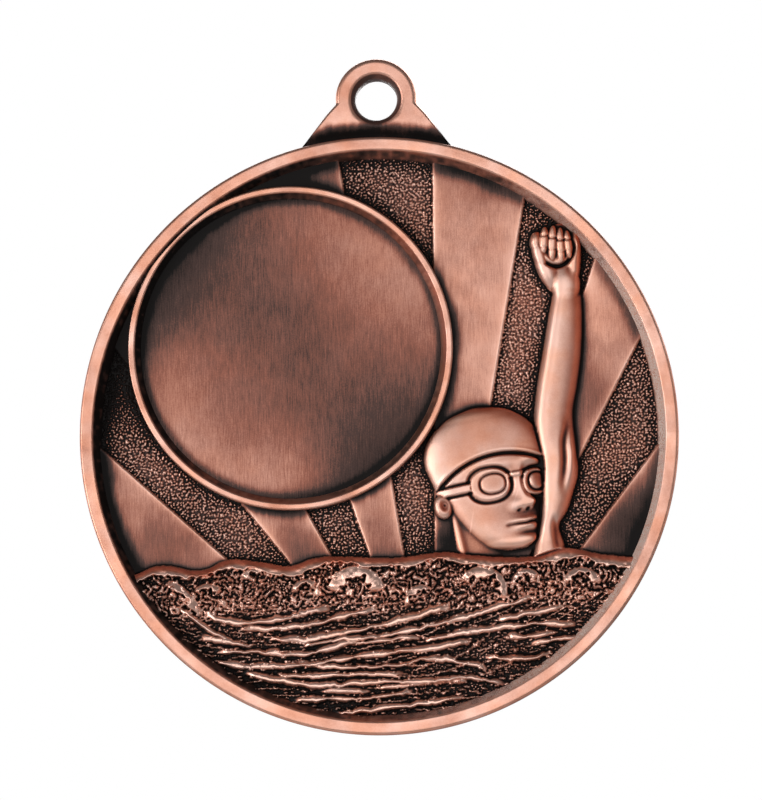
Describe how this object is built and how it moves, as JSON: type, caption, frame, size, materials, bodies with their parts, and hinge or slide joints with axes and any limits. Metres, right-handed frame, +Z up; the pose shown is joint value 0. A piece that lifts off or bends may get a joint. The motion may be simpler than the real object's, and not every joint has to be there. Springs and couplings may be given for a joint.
{
  "type": "sports finisher medal",
  "caption": "Round antique-copper medal with a ribbon loop, a round insert seat, sun rays, and a swimmer with a raised fist above choppy water.",
  "frame": {"origin": "centre of the round disc on the flat field of the reverse", "axes": "+X to the right seen from the front, +Z up to the ribbon loop, +Y out of the back; the relief faces -Y"},
  "size_m": [0.05, 0.003, 0.0567],
  "materials": {
    "rim_copper": "satin, relieved antique copper",
    "brushed_copper": "vertically brushed antique copper",
    "grained_copper": "stippled, darkened antique copper",
    "water_copper": "cast relief, dark hollows and rubbed crests",
    "figure_copper": "satin, rubbed relief with dark creases",
    "reverse_copper": "satin antique copper"
  },
  "bodies": {
    "root": {"back_plate": "reverse_copper", "ear": "figure_copper", "face": "figure_copper", "fingers": "figure_copper", "foam": "water_copper", "forearm": "figure_copper", "goggle_far": "figure_copper", "goggle_near": "figure_copper", "goggle_strap": "figure_copper", "grained_ray_1": "grained_copper", "grained_ray_2": "grained_copper", "grained_ray_3": "grained_copper", "grained_ray_4": "grained_copper", "grained_ray_5": "grained_copper", "insert_ring": "rim_copper", "insert_seat": "brushed_copper", "neck": "figure_copper", "palm": "figure_copper", "reverse_border": "reverse_copper", "ribbon_loop": "rim_copper", "rim": "rim_copper", "ripples": "water_copper", "smooth_ray_1": "brushed_copper", "smooth_ray_2": "brushed_copper", "smooth_ray_3": "brushed_copper", "smooth_ray_4": "brushed_copper", "smooth_ray_5": "brushed_copper", "smooth_ray_6": "brushed_copper", "swim_cap": "figure_copper", "thumb": "figure_copper", "upper_arm": "figure_copper", "water_bed": "water_copper", "wave_crest": "water_copper"}
  },
  "joints": []
}
